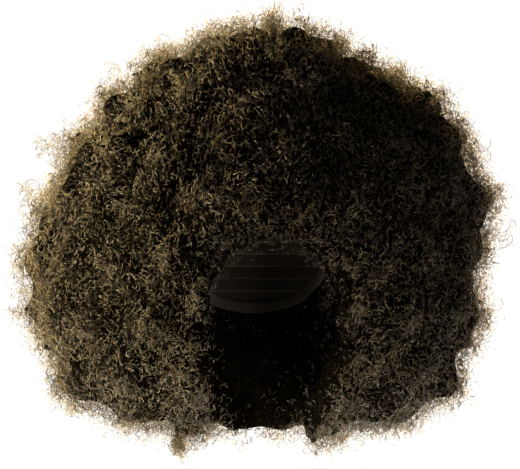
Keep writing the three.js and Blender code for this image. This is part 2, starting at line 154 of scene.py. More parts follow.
class Graph:
    """A node tree written from Python, for a finish, a world or a pattern."""

    def __init__(self, tree: bpy.types.NodeTree) -> None:
        """Wraps a node tree."""
        self.tree = tree

    def node(self, kind: str, settings: dict | None = None, values: dict | None = None) -> Value:
        """Adds any node.

        Args:
            kind: The node's type.
            settings: Its settings by name, set before its sockets.
            values: What its open input sockets take, by name or place.

        Returns:
            The node's first open output.
        """
        made = self.tree.nodes.new(kind)
        for name, setting in (settings or {}).items():
            setattr(made, name, setting)
        sockets = [socket for socket in made.inputs if socket.enabled]
        for key, value in (values or {}).items():
            self._feed(sockets[key] if isinstance(key, int) else self._named(sockets, key), value)
        outputs = [socket for socket in made.outputs if socket.enabled]
        return Value(self, outputs[0]) if outputs else None

    def mix(self, factor: Number, first: "Colour | Value", second: "Colour | Value") -> Value:
        """A colour between two others: the first at factor 0 and the second at 1."""
        settings = {"data_type": "RGBA", "clamp_factor": True}
        return self.node("ShaderNodeMix", settings, {"Factor": factor, "A": first, "B": second})

    def vector(self, operation: str, *operands: "tuple | float | Value") -> Value:
        """The vector that a Vector Math node makes of the operands."""
        settings = {"operation": operation}
        return self.node("ShaderNodeVectorMath", settings, dict(enumerate(operands)))

    def scaled(self, vector: Value, factor: Number) -> Value:
        """A vector times a number."""
        values = {"Vector": vector, "Scale": factor}
        return self.node("ShaderNodeVectorMath", {"operation": "SCALE"}, values)

    @staticmethod
    def _named(sockets: list[bpy.types.NodeSocket], name: str) -> bpy.types.NodeSocket:
        """The open socket of that name."""
        return next(socket for socket in sockets if socket.name == name)

    def _feed(self, socket: bpy.types.NodeSocket, value: object) -> None:
        """Links a value to a socket or sets the socket to it."""
        if isinstance(value, Value):
            self.tree.links.new(value.socket, socket)
        elif isinstance(value, list):
            for one in reversed(value):
                self.tree.links.new(one.socket, socket)
        elif socket.type == "RGBA":
            socket.default_value = (*value[:3], 1.0)
        else:
            socket.default_value = value


class Finish:
    """A material in the making: a graph with one surface shader."""

    def __init__(self, name: str) -> None:
        """Starts an empty material of the given name."""
        self.material = bpy.data.materials.new(name)
        self.material.use_nodes = True
        self.material.node_tree.nodes.clear()
        self.graph = Graph(self.material.node_tree)
        self.place = self.graph.node("ShaderNodeTexCoord")["Object"]

    def noise(self, width: float, detail: float = 2.0) -> Value:
        """Smooth noise with lumps of about the given width in metres."""
        values = {"Vector": self.place, "Scale": 1.0 / width, "Detail": detail}
        return self.graph.node("ShaderNodeTexNoise", None, values)

    def around(self, radius: float) -> tuple[Value, Value]:
        """The way round the head at the given radius, and the height, in metres."""
        parts = self.graph.node("ShaderNodeSeparateXYZ", None, {"Vector": self.place})
        return parts.math("ARCTAN2", parts["X"], parts["Y"]) * radius, parts["Z"]

    def surface(self, colour: Value, roughness: float, gloss: float,
                relief: Value | None = None, depth: float = 0.0,
                more: dict | None = None) -> Material:
        """Ends the material in a surface shader.

        Args:
            colour: The colour over the surface.
            roughness: How matt it is.
            gloss: How strong its glints are.
            relief: The height of its fine relief, from 0 to 1.
            depth: The full height of that relief in metres.
            more: The shader's other inputs, by socket name.

        Returns:
            The finished material.
        """
        values = {"Base Color": colour, "Roughness": roughness, "Specular IOR Level": gloss}
        values.update(more or {})
        if relief is not None:
            bump = {"Height": relief, "Distance": depth}
            values["Normal"] = self.graph.node("ShaderNodeBump", None, bump)
        shader = self.graph.node("ShaderNodeBsdfPrincipled", None, values)
        self.graph.node("ShaderNodeOutputMaterial", None, {"Surface": shader})
        return self.material


@dataclass(frozen=True)
class StrandFinish:
    """Single crimped strands: near black to brown at random deep down, painted gold-brown the
    farther out they reach, a painted glow that stands in for light coming through them.
    """

    dark: Colour = (0.003, 0.0022, 0.0012)
    brown: Colour = (0.09, 0.07, 0.039)
    # Painted glow colour: the gold-brown of light coming through the outer strands.
    gold: Colour = (0.325, 0.246, 0.113)
    clump: float = 0.045
    clump_span: Pair = (0.35, 0.68)
    clump_floor: float = 0.35
    shade_floor: float = 0.1
    shade_power: float = 1.4
    reach_floor: float = 0.05
    reach_power: float = 3.0
    roughness: float = 0.3
    gloss: float = 0.5
    glow: float = 0.8
    glow_depth: float = 0.002
    glow_spread: Colour = (1.0, 0.8, 0.55)

    def material(self) -> Material:
        """Builds the finish.

        Returns:
            A material that reads each strand's own shade and reach.
        """
        finish = Finish("hair_strands")
        graph = finish.graph
        shade = graph.node("ShaderNodeAttribute", {"attribute_name": "shade"})["Fac"]
        reach = graph.node("ShaderNodeAttribute", {"attribute_name": "reach"})["Fac"]
        clumps = finish.noise(self.clump, CLUMP_DETAIL).within(*self.clump_span)
        bright = (shade ** self.shade_power).above(self.shade_floor)
        bright = bright * clumps.above(self.clump_floor)
        # Painted glow: the farther out a strand reaches, the more it is painted gold-brown, as if
        # light came through it.
        loose = reach ** self.reach_power
        body = graph.mix(bright, self.dark, self.brown)
        painted_glow_share = (bright + loose * (1.0 - bright)) * loose.above(self.reach_floor)
        body_with_painted_glow = graph.mix(painted_glow_share, body, self.gold)
        glow = {"Subsurface Weight": self.glow, "Subsurface Radius": self.glow_spread,
                "Subsurface Scale": self.glow_depth}
        return finish.surface(body_with_painted_glow, self.roughness, self.gloss, more=glow)


@dataclass(frozen=True)
class MassFinish:
    """The thick of the hair under its outer curls: tangled strands of brown with near black painted
    shade between them.
    """

    # Painted shade in the gaps between the strands.
    dark: Colour = (0.0012, 0.0009, 0.0005)
    brown: Colour = (0.074, 0.056, 0.03)
    curl: float = 0.0075
    rings: float = 2.6
    inner_curl: float = 0.00465
    inner_rings: float = 1.7
    inner_strength: float = 0.7
    warp: float = 0.004
    warp_share: float = 0.8
    thinness: float = 1.8
    tint_floor: float = 0.1
    tint_power: float = 1.5
    clump: float = 0.05
    clump_span: Pair = (0.34, 0.68)
    clump_floor: float = 0.25
    relief: float = 0.0012
    roughness: float = 0.8
    gloss: float = 0.0

    def material(self) -> Material:
        """Builds the finish.

        Returns:
            A material of strands that curl round scattered middles, in two layers.
        """
        finish = Finish("hair_mass")
        outer = self._curls(finish, self.curl, self.rings)
        inner = self._curls(finish, self.inner_curl, self.inner_rings)
        strands = outer.math("MAXIMUM", outer, inner * self.inner_strength)
        clumps = finish.noise(self.clump, CLUMP_DETAIL).within(*self.clump_span)
        # The strands take the hair's brown and the gaps between them the painted shade.
        colour = finish.graph.mix(strands * clumps.above(self.clump_floor), self.dark, self.brown)
        return finish.surface(colour, self.roughness, self.gloss, strands, self.relief)

    def _curls(self, finish: Finish, width: float, rings: float) -> Value:
        """Thin strands in rings round scattered middles.

        Args:
            finish: The material they are made in.
            width: The distance between neighbouring middles, in metres.
            rings: How many strands lie in that width.

        Returns:
            The strand's brightness along each strand and 0 between them, where the painted shade
            goes.
        """
        graph = finish.graph
        lumps = finish.noise(width * self.warp_share, 1.0)["Color"]
        stray = graph.scaled(graph.vector("SUBTRACT", lumps, (0.5, 0.5, 0.5)), self.warp)
        warped = graph.vector("ADD", finish.place, stray)
        middles = graph.node("ShaderNodeTexVoronoi", None, {"Vector": warped, "Scale": 1.0 / width})
        wave = (middles["Distance"] * (rings * math.pi) + middles["Color"] * math.pi).sine()
        tint = (middles["Color"] ** self.tint_power).above(self.tint_floor)
        return (1.0 - wave.size()) ** self.thinness * tint


@dataclass(frozen=True)
class NetFinish:
    """The cap's fine diamond net with rows of machine-sewn wefts across it."""

    thread: Colour = (0.12, 0.098, 0.074)
    gap: Colour = (0.022, 0.018, 0.014)
    weft: Colour = (0.2, 0.156, 0.104)
    mesh: float = 0.0022
    row_pitch: float = 0.013
    row_share: float = 0.2
    row_edge: float = 0.12
    wander: float = 0.003
    wander_width: float = 0.03
    stitch: float = 0.0034
    stitch_lean: float = 900.0
    stitch_floor: float = 0.55
    thinness: float = 0.7
    net_height: float = 0.35
    weft_height: float = 0.45
    stitch_height: float = 0.2
    relief: float = 0.0008
    roughness: float = 0.82
    gloss: float = 0.25
    head_radius: float = 0.086

    def material(self) -> Material:
        """Builds the finish.

        Returns:
            A material whose net runs round the head and whose weft rows lie level.
        """
        finish = Finish("cap_net")
        around, z = finish.around(self.head_radius)
        wander = (finish.noise(self.wander_width, 1.0) - 0.5) * self.wander
        slant = math.pi / self.mesh
        warp = ((around + z) * slant).sine().size()
        fill = ((around - z) * slant).sine().size()
        net = 1.0 - warp.math("MINIMUM", warp, fill) ** self.thinness
        row = ((z + wander) * (math.pi / self.row_pitch)).sine().size()
        weft = 1.0 - row.within(self.row_edge, self.row_share)
        lean = z * self.stitch_lean
        sewn = (around * (2.0 * math.pi / self.stitch) + lean).sine() * 0.5 + 0.5
        colour = finish.graph.mix(net, self.gap, self.thread)
        colour = finish.graph.mix(weft * sewn.above(self.stitch_floor), colour, self.weft)
        height = net * self.net_height + weft * (self.weft_height + self.stitch_height * sewn)
        return finish.surface(colour, self.roughness, self.gloss, height, self.relief)


@dataclass(frozen=True)
class TapeFinish:
    """Folded woven tape: a fine twill with one row of stitches."""

    name: str
    thread: Colour
    shadow: Colour
    twill: float = 0.0011
    ribs: float = 0.0
    stitch: float = 0.0032
    twill_lean: float = 1.7
    twill_base: float = 0.35
    twill_height: float = 0.4
    rib_share: float = 0.6
    rib_power: float = 0.6
    stitch_cut: float = -0.2
    stitch_strength: float = 0.18
    speckle: float = 0.004
    speckle_span: Pair = (0.35, 0.7)
    speckle_floor: float = 0.6
    relief: float = 0.0005
    roughness: float = 0.74
    gloss: float = 0.3
    head_radius: float = 0.088

    def material(self) -> Material:
        """Builds the finish.

        Returns:
            A material of slanting twill, crossed by ribs where the tape is an elastic.
        """
        finish = Finish(self.name)
        around, z = finish.around(self.head_radius)
        slant = ((around + z * self.twill_lean) * (math.pi / self.twill)).sine().size()
        height = self.twill_base + self.twill_height * slant
        if self.ribs:
            rib = (around * (math.pi / self.ribs)).sine().size() ** self.rib_power
            height = height * (1.0 - self.rib_share) + rib * self.rib_share
        dash = (around * (2.0 * math.pi / self.stitch)).sine() > self.stitch_cut
        speckle = finish.noise(self.speckle).within(*self.speckle_span)
        colour = height * speckle.above(self.speckle_floor)
        colour = finish.graph.mix(colour, self.shadow, self.thread)
        colour = finish.graph.mix(dash * self.stitch_strength, colour, self.thread)
        return finish.surface(colour, self.roughness, self.gloss, height, self.relief)


@dataclass(frozen=True)
class FloorFinish:
    """A plain pale floor with a faint unevenness."""

    pale: Colour = (0.78, 0.78, 0.77)
    shade: Colour = (0.72, 0.72, 0.71)
    patch: float = 0.8
    patch_span: Pair = (0.3, 0.7)
    roughness: float = 0.9
    gloss: float = 0.5

    def material(self) -> Material:
        """Builds the finish."""
        finish = Finish("pale_floor")
        patches = finish.noise(self.patch).within(*self.patch_span)
        colour = finish.graph.mix(patches, self.shade, self.pale)
        return finish.surface(colour, self.roughness, self.gloss)


class Pattern(Graph):
    """A Geometry Nodes tree with named sizes, run once over a body to give a plain mesh."""

    def __init__(self, name: str) -> None:
        """Starts a tree that takes one body and gives one."""
        super().__init__(bpy.data.node_groups.new(name, "GeometryNodeTree"))
        for way in ("INPUT", "OUTPUT"):
            self.tree.interface.new_socket("Body", in_out=way, socket_type="NodeSocketGeometry")
        self.entry = self.tree.nodes.new("NodeGroupInput")
        self.exit = self.tree.nodes.new("NodeGroupOutput")
        self.body = Value(self, self.entry.outputs["Body"])

    def named(self, name: str, whole: bool = False) -> Value:
        """Adds a named input for a size, or for a whole number."""
        kind = "NodeSocketInt" if whole else "NodeSocketFloat"
        self.tree.interface.new_socket(name, in_out="INPUT", socket_type=kind)
        return Value(self, self.entry.outputs[name])

    def close(self, made: Value, material: Material) -> None:
        """Ends the tree in real geometry of one material."""
        whole = self.node("GeometryNodeRealizeInstances", None, {"Geometry": made})
        smooth = self.node("GeometryNodeSetShadeSmooth", None, {"Geometry": whole})
        values = {"Geometry": smooth, "Material": material}
        dressed = self.node("GeometryNodeSetMaterial", None, values)
        self.tree.links.new(dressed.socket, self.exit.inputs["Body"])
        self.material = material

    def run(self, body: Body, sizes: dict[str, float],
            name: str) -> Body:
        """Runs the tree over a body.

        Args:
            body: The body that the tree reads, left as it was.
            sizes: The named inputs.
            name: The new piece's name.

        Returns:
            A new object with a plain mesh.
        """
        modifier = body.modifiers.new(name, "NODES")
        modifier.node_group = self.tree
        for item in self.tree.interface.items_tree:
            if item.item_type == "SOCKET" and item.in_out == "INPUT" and item.name in sizes:
                modifier[item.identifier] = sizes[item.name]
        made = plain_copy(body, name)
        body.modifiers.remove(modifier)
        made.data.materials.clear()
        made.data.materials.append(self.material)
        slots = np.zeros(len(made.data.polygons), np.int32)
        made.data.polygons.foreach_set("material_index", slots)
        return made


def plain_copy(body: Body, name: str) -> Body:
    """Copies a body as its modifiers leave it.

    Args:
        body: The body to copy.
        name: The copy's name.

    Returns:
        A new linked object at the origin with a plain mesh.
    """
    graph = bpy.context.evaluated_depsgraph_get()
    graph.update()
    mesh = bpy.data.meshes.new_from_object(body.evaluated_get(graph), depsgraph=graph)
    mesh.name = name
    return linked(name, mesh)


def columns(owner: bpy.types.bpy_prop_collection, name: str, width: int) -> np.ndarray:
    """Reads a float property of every item as rows of the given width."""
    values = np.zeros(len(owner) * width, np.float32)
    owner.foreach_get(name, values)
    return values.reshape(-1, width)


class Half(Enum):
    """The two halves that a weft group's curls are made in."""

    LEFT = -1.0
    RIGHT = 1.0


@dataclass(frozen=True)
class CurlSizes:
    """Sizes of one bed of curls, in metres, with its strands to the square metre."""

    strands: float
    deepest: float
    highest: float
    curl: float
    thickness: float
    seed: int


@dataclass(frozen=True)
class StrandShape:
    """One shape of strand: its turns, its straight steps, and its share of all strands.

    The rise is along the coil's axis, as a share of its radius. The size multiplies the
    bed's curl.
    """

    turns: float
    steps: int
    rise: float
    size: float
    share: float


@dataclass
class CurlPattern:
    """Curls strewn through the outer layer of a hair skin, lying with their neighbours."""

    finish: Material
    combing: float = 0.045
    combed_turn: float = 4.0 * math.pi
    tangle: float = 0.75
    spread: float = 0.003
    outward_power: float = 0.5
    reach_span: Pair = (-0.013, 0.013)
    smallest: float = 0.7
    size_range: float = 0.65
    coil_steps: int = 24
    coil_closing: float = 0.8
    sides: int = 3
    shapes: tuple[StrandShape, ...] = (
        StrandShape(0.27, 2, 0.3, 1.25, 0.68),
        StrandShape(0.4, 3, 0.5, 1.15, 0.24),
        StrandShape(0.68, 5, 0.8, 1.0, 0.06),
        StrandShape(1.2, 8, 1.1, 0.95, 0.02),
    )
    pattern: Pattern = field(init=False)

    def __post_init__(self) -> None:
        """Builds the tree with its beds, the deepest first."""
        self.pattern = Pattern("curls")
        self.side = self.pattern.named("Side")
        beds = [self._bed(name) for name in BEDS]
        joined = self.pattern.node("GeometryNodeJoinGeometry", None, {"Geometry": beds})
        self.pattern.close(joined, self.finish)

    def grow(self, skin: Body, half: Half, beds: tuple[CurlSizes, ...],
             name: str) -> Body:
        """Grows the curls of one half of a hair skin.

        Args:
            skin: The skin they grow on.
            half: The half of it to cover.
            beds: Sizes of the beds, from the deepest out.
            name: The piece's name.

        Returns:
            The curls as one piece with a map for its colours.
        """
        sizes = {"Side": half.value}
        for bed, given in zip(BEDS, beds):
            sizes.update({f"{bed} {word.title()}": size for word, size in vars(given).items()})
        made = self.pattern.run(skin, sizes, name)
        map_strands(made.data)
        return made

    def _bed(self, bed: str) -> Value:
        """One bed of strands.

        Args:
            bed: The bed's name, which its inputs start with.

        Returns:
            The strands as instances.
        """
        tree = self.pattern
        words = ("Strands", "Deepest", "Highest", "Curl", "Thickness")
        strands, deepest, highest, curl, thickness = (tree.named(f"{bed} {word}") for word in words)
        seed = tree.named(f"{bed} Seed", whole=True)
        place = tree.node("GeometryNodeInputPosition")
        x = tree.node("ShaderNodeSeparateXYZ", None, {"Vector": place})
        openness = tree.node("GeometryNodeInputNamedAttribute", {"data_type": "FLOAT"},
                             {"Name": "openness"})
        roots = tree.node("GeometryNodeDistributePointsOnFaces", {"distribute_method": "RANDOM"},
                          {"Mesh": tree.body, "Selection": (x * self.side) > 0.0,
                           "Density": openness * strands, "Seed": seed})
        lift = 1.0 - self._chance(seed, 1) ** self.outward_power
        height = deepest + lift * (highest - deepest)
        rise = tree.scaled(roots["Normal"], height)
        drift = self._chances(seed, 2, self.spread)
        placed = tree.node("GeometryNodeSetPosition", None,
                           {"Geometry": roots, "Offset": tree.vector("ADD", rise, drift)})
        shaded = self._store(placed, "shade", self._chance(seed, 3))
        # How far out each strand lies, which sets how much painted glow the finish gives it.
        reached = self._store(shaded, "reach", height.within(*self.reach_span))
        number = tree.node("GeometryNodeInputIndex") * float(len(BEDS)) + float(BEDS.index(bed))
        numbered = self._store(reached, "strand", number, whole=True)
        waves = tree.node("ShaderNodeTexNoise", None,
                          {"Vector": place, "Scale": 1.0 / self.combing, "Detail": 1.0})
        combed = tree.scaled(waves["Color"], self.combed_turn)
        turn = tree.vector("ADD", combed, self._chances(seed, 4, self.tangle))
        pick = self._chance(seed, 5)
        passed = np.cumsum([shape.share for shape in self.shapes])[:-1]
        index = sum((pick > float(limit) for limit in passed), start=0.0)
        kinds = [self._strand(shape, curl, thickness) for shape in self.shapes]
        return tree.node("GeometryNodeInstanceOnPoints", None, {
            "Points": numbered,
            "Instance": tree.node("GeometryNodeJoinGeometry", None, {"Geometry": kinds}),
            "Pick Instance": True, "Instance Index": index,
            "Rotation": tree.node("FunctionNodeEulerToRotation", None, {"Euler": turn}),
            "Scale": self.smallest + self.size_range * self._chance(seed, 6)})

    def _strand(self, shape: StrandShape, curl: Value, thickness: Value) -> Value:
        """One strand: a coil drawn to a point at both ends.

        Args:
            shape: The strand's shape.
            curl: The bed's curl radius.
            thickness: The strand's radius at its middle.

        Returns:
            The strand as one instance.
        """
        tree = self.pattern
        radius = curl * shape.size
        spiral = tree.node("GeometryNodeCurveSpiral", None, {
            "Resolution": self.coil_steps, "Rotations": shape.turns, "Start Radius": radius,
            "End Radius": radius * self.coil_closing, "Height": radius * shape.rise})
        coil = tree.node("GeometryNodeResampleCurve", None,
                         {"Curve": spiral, "Count": shape.steps + 1})
        along = tree.node("GeometryNodeSplineParameter")
        arch = 4.0 * along * (1.0 - along)
        taper = arch.math("POWER", arch, TAPER_POWER, clamp=True)
        ring = tree.node("GeometryNodeCurvePrimitiveCircle", {"mode": "RADIUS"},
                         {"Resolution": self.sides, "Radius": thickness})
        tube = tree.node("GeometryNodeCurveToMesh", None,
                         {"Curve": coil, "Profile Curve": ring, "Scale": taper})
        closed = tree.node("GeometryNodeMergeByDistance", None,
                           {"Geometry": tube, "Distance": WELD})
        return tree.node("GeometryNodeGeometryToInstance", None, {"Geometry": closed})

    def _store(self, points: Value, name: str, value: Value, whole: bool = False) -> Value:
        """Keeps a number with each strand under a name."""
        settings = {"data_type": "INT" if whole else "FLOAT", "domain": "POINT"}
        return self.pattern.node("GeometryNodeStoreNamedAttribute", settings,
                                 {"Geometry": points, "Name": name, "Value": value})

    def _chance(self, seed: Value, step: int) -> Value:
        """A number from 0 to 1 for each strand, from the seed and a step of its own."""
        values = {"Min": 0.0, "Max": 1.0, "Seed": seed + float(step)}
        return self.pattern.node("FunctionNodeRandomValue", {"data_type": "FLOAT"}, values)

    def _chances(self, seed: Value, step: int, size: float) -> Value:
        """A vector for each strand, each part up to a size either way."""
        values = {"Min": (-size,) * 3, "Max": (size,) * 3, "Seed": seed + float(step)}
        return self.pattern.node("FunctionNodeRandomValue", {"data_type": "FLOAT_VECTOR"}, values)


def map_strands(mesh: Mesh) -> None:
    """Lays every strand on a square of its own in the map that takes the colours."""
    number = np.zeros(len(mesh.vertices), np.int32)
    mesh.attributes["strand"].data.foreach_get("value", number)
    corner = np.zeros(len(mesh.loops), np.int32)
    mesh.loops.foreach_get("vertex_index", corner)
    _, cell = np.unique(number[corner], return_inverse=True)
    across = int(math.ceil(math.sqrt(cell.max() + 1)))
    start = np.zeros(len(mesh.polygons), np.int32)
    mesh.polygons.foreach_get("loop_start", start)
    order = np.arange(len(corner)) - np.repeat(start, np.diff(np.append(start, len(corner))))
    near, far = 0.2, 0.8
    spots = np.array([(near, near), (far, near), (far, far), (near, far)])[order]
    place = (np.stack([cell % across, cell // across], 1) + spots) / across
    mesh.uv_layers.new(name=BAKE_MAP).data.foreach_set("uv", place.astype(np.float32).ravel())


@dataclass(frozen=True)
class Lock:
    """A lock that stands out of the round shape, placed one by one.

    It starts at its root, given across and up, and runs by its lean while it winds round in turns.
    """

    root: Pair
    lean: Pair
    radius: float
    turns: float
    strands: int = 1
    spread: float = 0.0
    start: float = 0.0
    # How strongly its strands are painted gold-brown: a painted glow that stands in for light
    # coming through them.
    loose: float = 0.75


LOCKS: dict[str, tuple[Lock, ...]] = {
    "hair_crown": (
        Lock((0.005, 0.138), (0.005, 0.015), 0.0034, 1.0, 90, 0.0095, loose=0.4),
        Lock((0.07, 0.116), (0.006, 0.009), 0.0034, 1.0, 60, 0.008, loose=0.45),
        Lock((0.092, 0.102), (0.006, 0.009), 0.0036, 0.9, 55, 0.0085, loose=0.45),
        Lock((0.119, 0.084), (0.008, 0.008), 0.0034, 1.0, 55, 0.0085, loose=0.45),
        Lock((0.16, 0.058), (0.011, 0.009), 0.0036, 0.9, 60, 0.009, loose=0.45),
        Lock((-0.049, 0.125), (0.002, 0.001), 0.0065, 1.25),
        Lock((0.048, 0.117), (0.001, 0.002), 0.0066, 1.2, start=0.3),
        Lock((0.079, 0.131), (0.002, 0.000), 0.007, 1.15, start=0.6),
        Lock((0.068, 0.134), (0.026, -0.004), 0.009, 0.45, 3, 0.0035, start=0.5),
        Lock((-0.145, 0.092), (-0.006, 0.006), 0.006, 1.1, 4, 0.004),
        Lock((-0.1, 0.118), (-0.004, 0.006), 0.0055, 1.2, 3, 0.004),
        Lock((-0.03, 0.135), (0.004, 0.006), 0.006, 1.15, 3, 0.0045),
    ),
    "hair_sides": (
        Lock((0.24, -0.141), (0.004, 0.000), 0.0066, 1.15, start=0.5, loose=0.9),
        Lock((-0.232, -0.03), (-0.006, 0.004), 0.0042, 0.75, 26, 0.01, loose=0.6),
        Lock((-0.236, -0.09), (-0.006, -0.002), 0.0045, 0.75, 26, 0.011, loose=0.6),
        Lock((-0.214, 0.018), (-0.006, 0.005), 0.0042, 0.8, 24, 0.01, loose=0.6),
        Lock((0.226, -0.07), (0.006, 0.002), 0.004, 0.8, 24, 0.011, loose=0.6),
        Lock((0.212, 0.008), (0.006, 0.005), 0.0042, 0.8, 24, 0.011, loose=0.6),
    ),
    "hair_nape": (
        Lock((-0.083, -0.276), (-0.003, -0.01), 0.0034, 1.1, 70, 0.006, loose=0.55),
        Lock((-0.069, -0.277), (0.002, -0.002), 0.0065, 1.2, 2, 0.002, start=0.2, loose=0.9),
        Lock((0.15, -0.223), (-0.036, -0.036), 0.0022, 1.6, 2, 0.0015, loose=0.9),
        Lock((-0.203, -0.19), (-0.006, -0.004), 0.0042, 0.8, 24, 0.01, loose=0.6),
        Lock((0.188, -0.208), (0.005, -0.005), 0.0042, 0.8, 22, 0.01, loose=0.8),
    ),
}


@dataclass
class StrayLocks:
    """The tufts, rings and long fibres that stand out of one weft group."""

    finish: Material
    thickness: float = 0.00032
    steps: int = 14
    sides: int = 3
    lift: float = 0.004
    far_front: float = -0.4
    edge_depth: float = -0.01
    deepening: float = 3.0
    swelling: float = 0.35
    most_tilt: float = 1.3
    shade_span: Pair = (0.35, 1.0)
    reach_span: Pair = (0.7, 1.1)
    seed: int = 5

    def build(self, locks: tuple[Lock, ...], skin: BVHTree, name: str) -> Body:
        """Builds the locks as one piece.

        Args:
            locks: The locks.
            skin: The hair's surface, which the locks start from.
            name: The piece's name.

        Returns:
            The locks as one piece with a map for its colours.
        """
        chance = np.random.default_rng(self.seed)
        points, faces, marks = [], [], []
        for lock in locks:
            for _ in range(lock.strands):
                path = self._path(lock, skin, chance)
                faces.extend(self._faces(len(points)))
                points.extend(self._tube(path))
                # Each strand's random tone, and its share of the painted glow.
                marks.append((chance.uniform(*self.shade_span),
                              lock.loose * chance.uniform(*self.reach_span)))
        mesh = bpy.data.meshes.new(name)
        mesh.from_pydata(points, [], faces)
        mesh.shade_smooth()
        each = len(points) // len(marks)
        for column, word in enumerate(("shade", "reach")):
            values = np.repeat([mark[column] for mark in marks], each).astype(np.float32)
            mesh.attributes.new(word, "FLOAT", "POINT").data.foreach_set("value", values)
        numbers = np.repeat(np.arange(len(marks)), each).astype(np.int32)
        mesh.attributes.new("strand", "INT", "POINT").data.foreach_set("value", numbers)
        mesh.materials.append(self.finish)
        map_strands(mesh)
        return linked(name, mesh)

    def _path(self, lock: Lock, skin: BVHTree, chance: np.random.Generator) -> np.ndarray:
        """Runs one strand of a lock, in front of the hair."""
        across, up = lock.root
        start = Vector((across, self.far_front, up))
        hit = skin.ray_cast(start, Vector((0.0, 1.0, 0.0)))[0]
        depth = hit.y - self.lift if hit is not None else self.edge_depth
        stray = chance.uniform(-1.0, 1.0, 3) * lock.spread * np.array((1.0, self.deepening, 1.0))
        several = float(lock.strands > 1)
        swell = 1.0 + self.swelling * chance.uniform(-1.0, 1.0) * several
        spin = lock.start + chance.uniform(0.0, 1.0) * several
        tilt = chance.uniform(-self.most_tilt, self.most_tilt) * several
        along = np.linspace(0.0, 1.0, self.steps + 1)
        angle = 2.0 * math.pi * (spin + lock.turns * along)
        drift = chance.uniform(-1.0, 1.0) * lock.radius
        reach = lock.radius * swell * np.cos(angle)
        x = across + stray[0] + lock.lean[0] * along * swell + reach * math.cos(tilt)
        y = depth + stray[1] + drift * along + reach * math.sin(tilt)
        z = up + stray[2] + lock.lean[1] * along * swell + lock.radius * swell * np.sin(angle)
        return np.stack([x, y, z], 1)

    def _tube(self, path: np.ndarray) -> list[Place]:
        """Lays rings round a path, drawn to a point at both ends."""
        run = np.gradient(path, axis=0)
        run /= np.linalg.norm(run, axis=1)[:, None]
        aside = np.cross(run, (0.0, 1.0, 0.0))
        aside /= np.linalg.norm(aside, axis=1)[:, None]
        over = np.cross(aside, run)
        along = np.linspace(0.0, 1.0, len(path))
        radii = self.thickness * (4.0 * along * (1.0 - along)) ** TAPER_POWER
        points = [path[0]]
        for index in range(1, len(path) - 1):
            for side in range(self.sides):
                turn = 2.0 * math.pi * side / self.sides
                out = math.cos(turn) * aside[index] + math.sin(turn) * over[index]
                points.append(path[index] + radii[index] * out)
        points.append(path[-1])
        return [tuple(point) for point in points]

    def _faces(self, first: int) -> list[tuple[int, ...]]:
        """Numbers the faces of one strand whose corners start at a number."""
        sides, rings = self.sides, self.steps - 1
        tip = first + 1 + sides * rings
        faces: list[tuple[int, ...]] = []
        for side in range(sides):
            after = (side + 1) % sides
            faces.append((first, first + 1 + side, first + 1 + after))
            for ring in range(rings - 1):
                low = first + 1 + ring * sides
                high = low + sides
                faces.append((low + side, high + side, high + after, low + after))
            last = tip - sides
            faces.append((last + side, tip, last + after))
        return faces


@dataclass
class MassPattern:
    """The thick of a weft group's hair: its skin drawn in and made lumpy."""

    finish: Material
    draw_in: float = 0.0125
    inner: float = 0.105
    outer: float = 0.15
    lump: float = 0.016
    lump_height: float = 0.004
    pattern: Pattern = field(init=False)

    def __post_init__(self) -> None:
        """Builds the tree."""
        self.pattern = Pattern("hair_mass")
        tree = self.pattern
        words = ("Draw In", "Lump Width", "Lump Height")
        draw, lump, height = (tree.named(word) for word in words)
        place = tree.node("GeometryNodeInputPosition")
        ray = tree.vector("SUBTRACT", place, HAIR_CENTRE)
        length = tree.node("ShaderNodeVectorMath", {"operation": "LENGTH"}, {"Vector": ray})
        share = length["Value"].within(self.inner, self.outer)
        lumps = tree.node("ShaderNodeTexNoise", None,
                          {"Vector": place, "Scale": 1.0 / lump, "Detail": 2.0})
        shift = share * ((lumps - 0.5) * 2.0 * height - draw)
        drawn = tree.scaled(tree.vector("NORMALIZE", ray), shift)
        moved = tree.node("GeometryNodeSetPosition", None,
                          {"Geometry": tree.body, "Offset": drawn})
        tree.close(moved, self.finish)

    def press(self, skin: Body, name: str) -> Body:
        """Makes the mass under a skin, as a piece of the given name."""
        sizes = {"Draw In": self.draw_in, "Lump Width": self.lump,
                 "Lump Height": self.lump_height}
        return self.pattern.run(skin, sizes, name)


def lies_against(centre: Vector, normal: Vector, others: list[BVHTree], reach: float,
                 facing_limit: float = 1.0) -> bool:
    """Tells whether a face lies against another piece.

    Args:
        centre: The face's middle.
        normal: The way it faces.
        others: The other pieces' surfaces.
        reach: How near they have to be.
        facing_limit: The greatest cosine between the two surfaces' directions.

    Returns:
        True where one of them is that near and turned so.
    """
    for other in others:
        hit, facing, _, _ = other.find_nearest(centre, reach)
        if hit is not None and facing.dot(normal) <= facing_limit:
            return True
    return False


@dataclass(frozen=True)
class SkinMaker:
    """Makes soft skins of even faces round solids."""

    voxel: float = 0.007
    softness: float = 0.5
    rounds: int = 3

    def make(self, solids: list[Mesh], name: str) -> Body:
        """Makes one skin round solids that overlap.

        Args:
            solids: The solids.
            name: The skin's name.

        Returns:
            A closed skin at the origin.
        """
        shape = bmesh.new()
        for solid in solids:
            shape.from_mesh(solid)
        mesh = bpy.data.meshes.new(f"{name}_rough")
        shape.to_mesh(mesh)
        shape.free()
        rough = linked(f"{name}_rough", mesh)
        remesh = rough.modifiers.new("even", "REMESH")
        remesh.mode = "VOXEL"
        remesh.voxel_size = self.voxel
        smooth = rough.modifiers.new("soft", "SMOOTH")
        smooth.factor = self.softness
        smooth.iterations = self.rounds
        skin = plain_copy(rough, name)
        bpy.data.objects.remove(rough)
        return skin


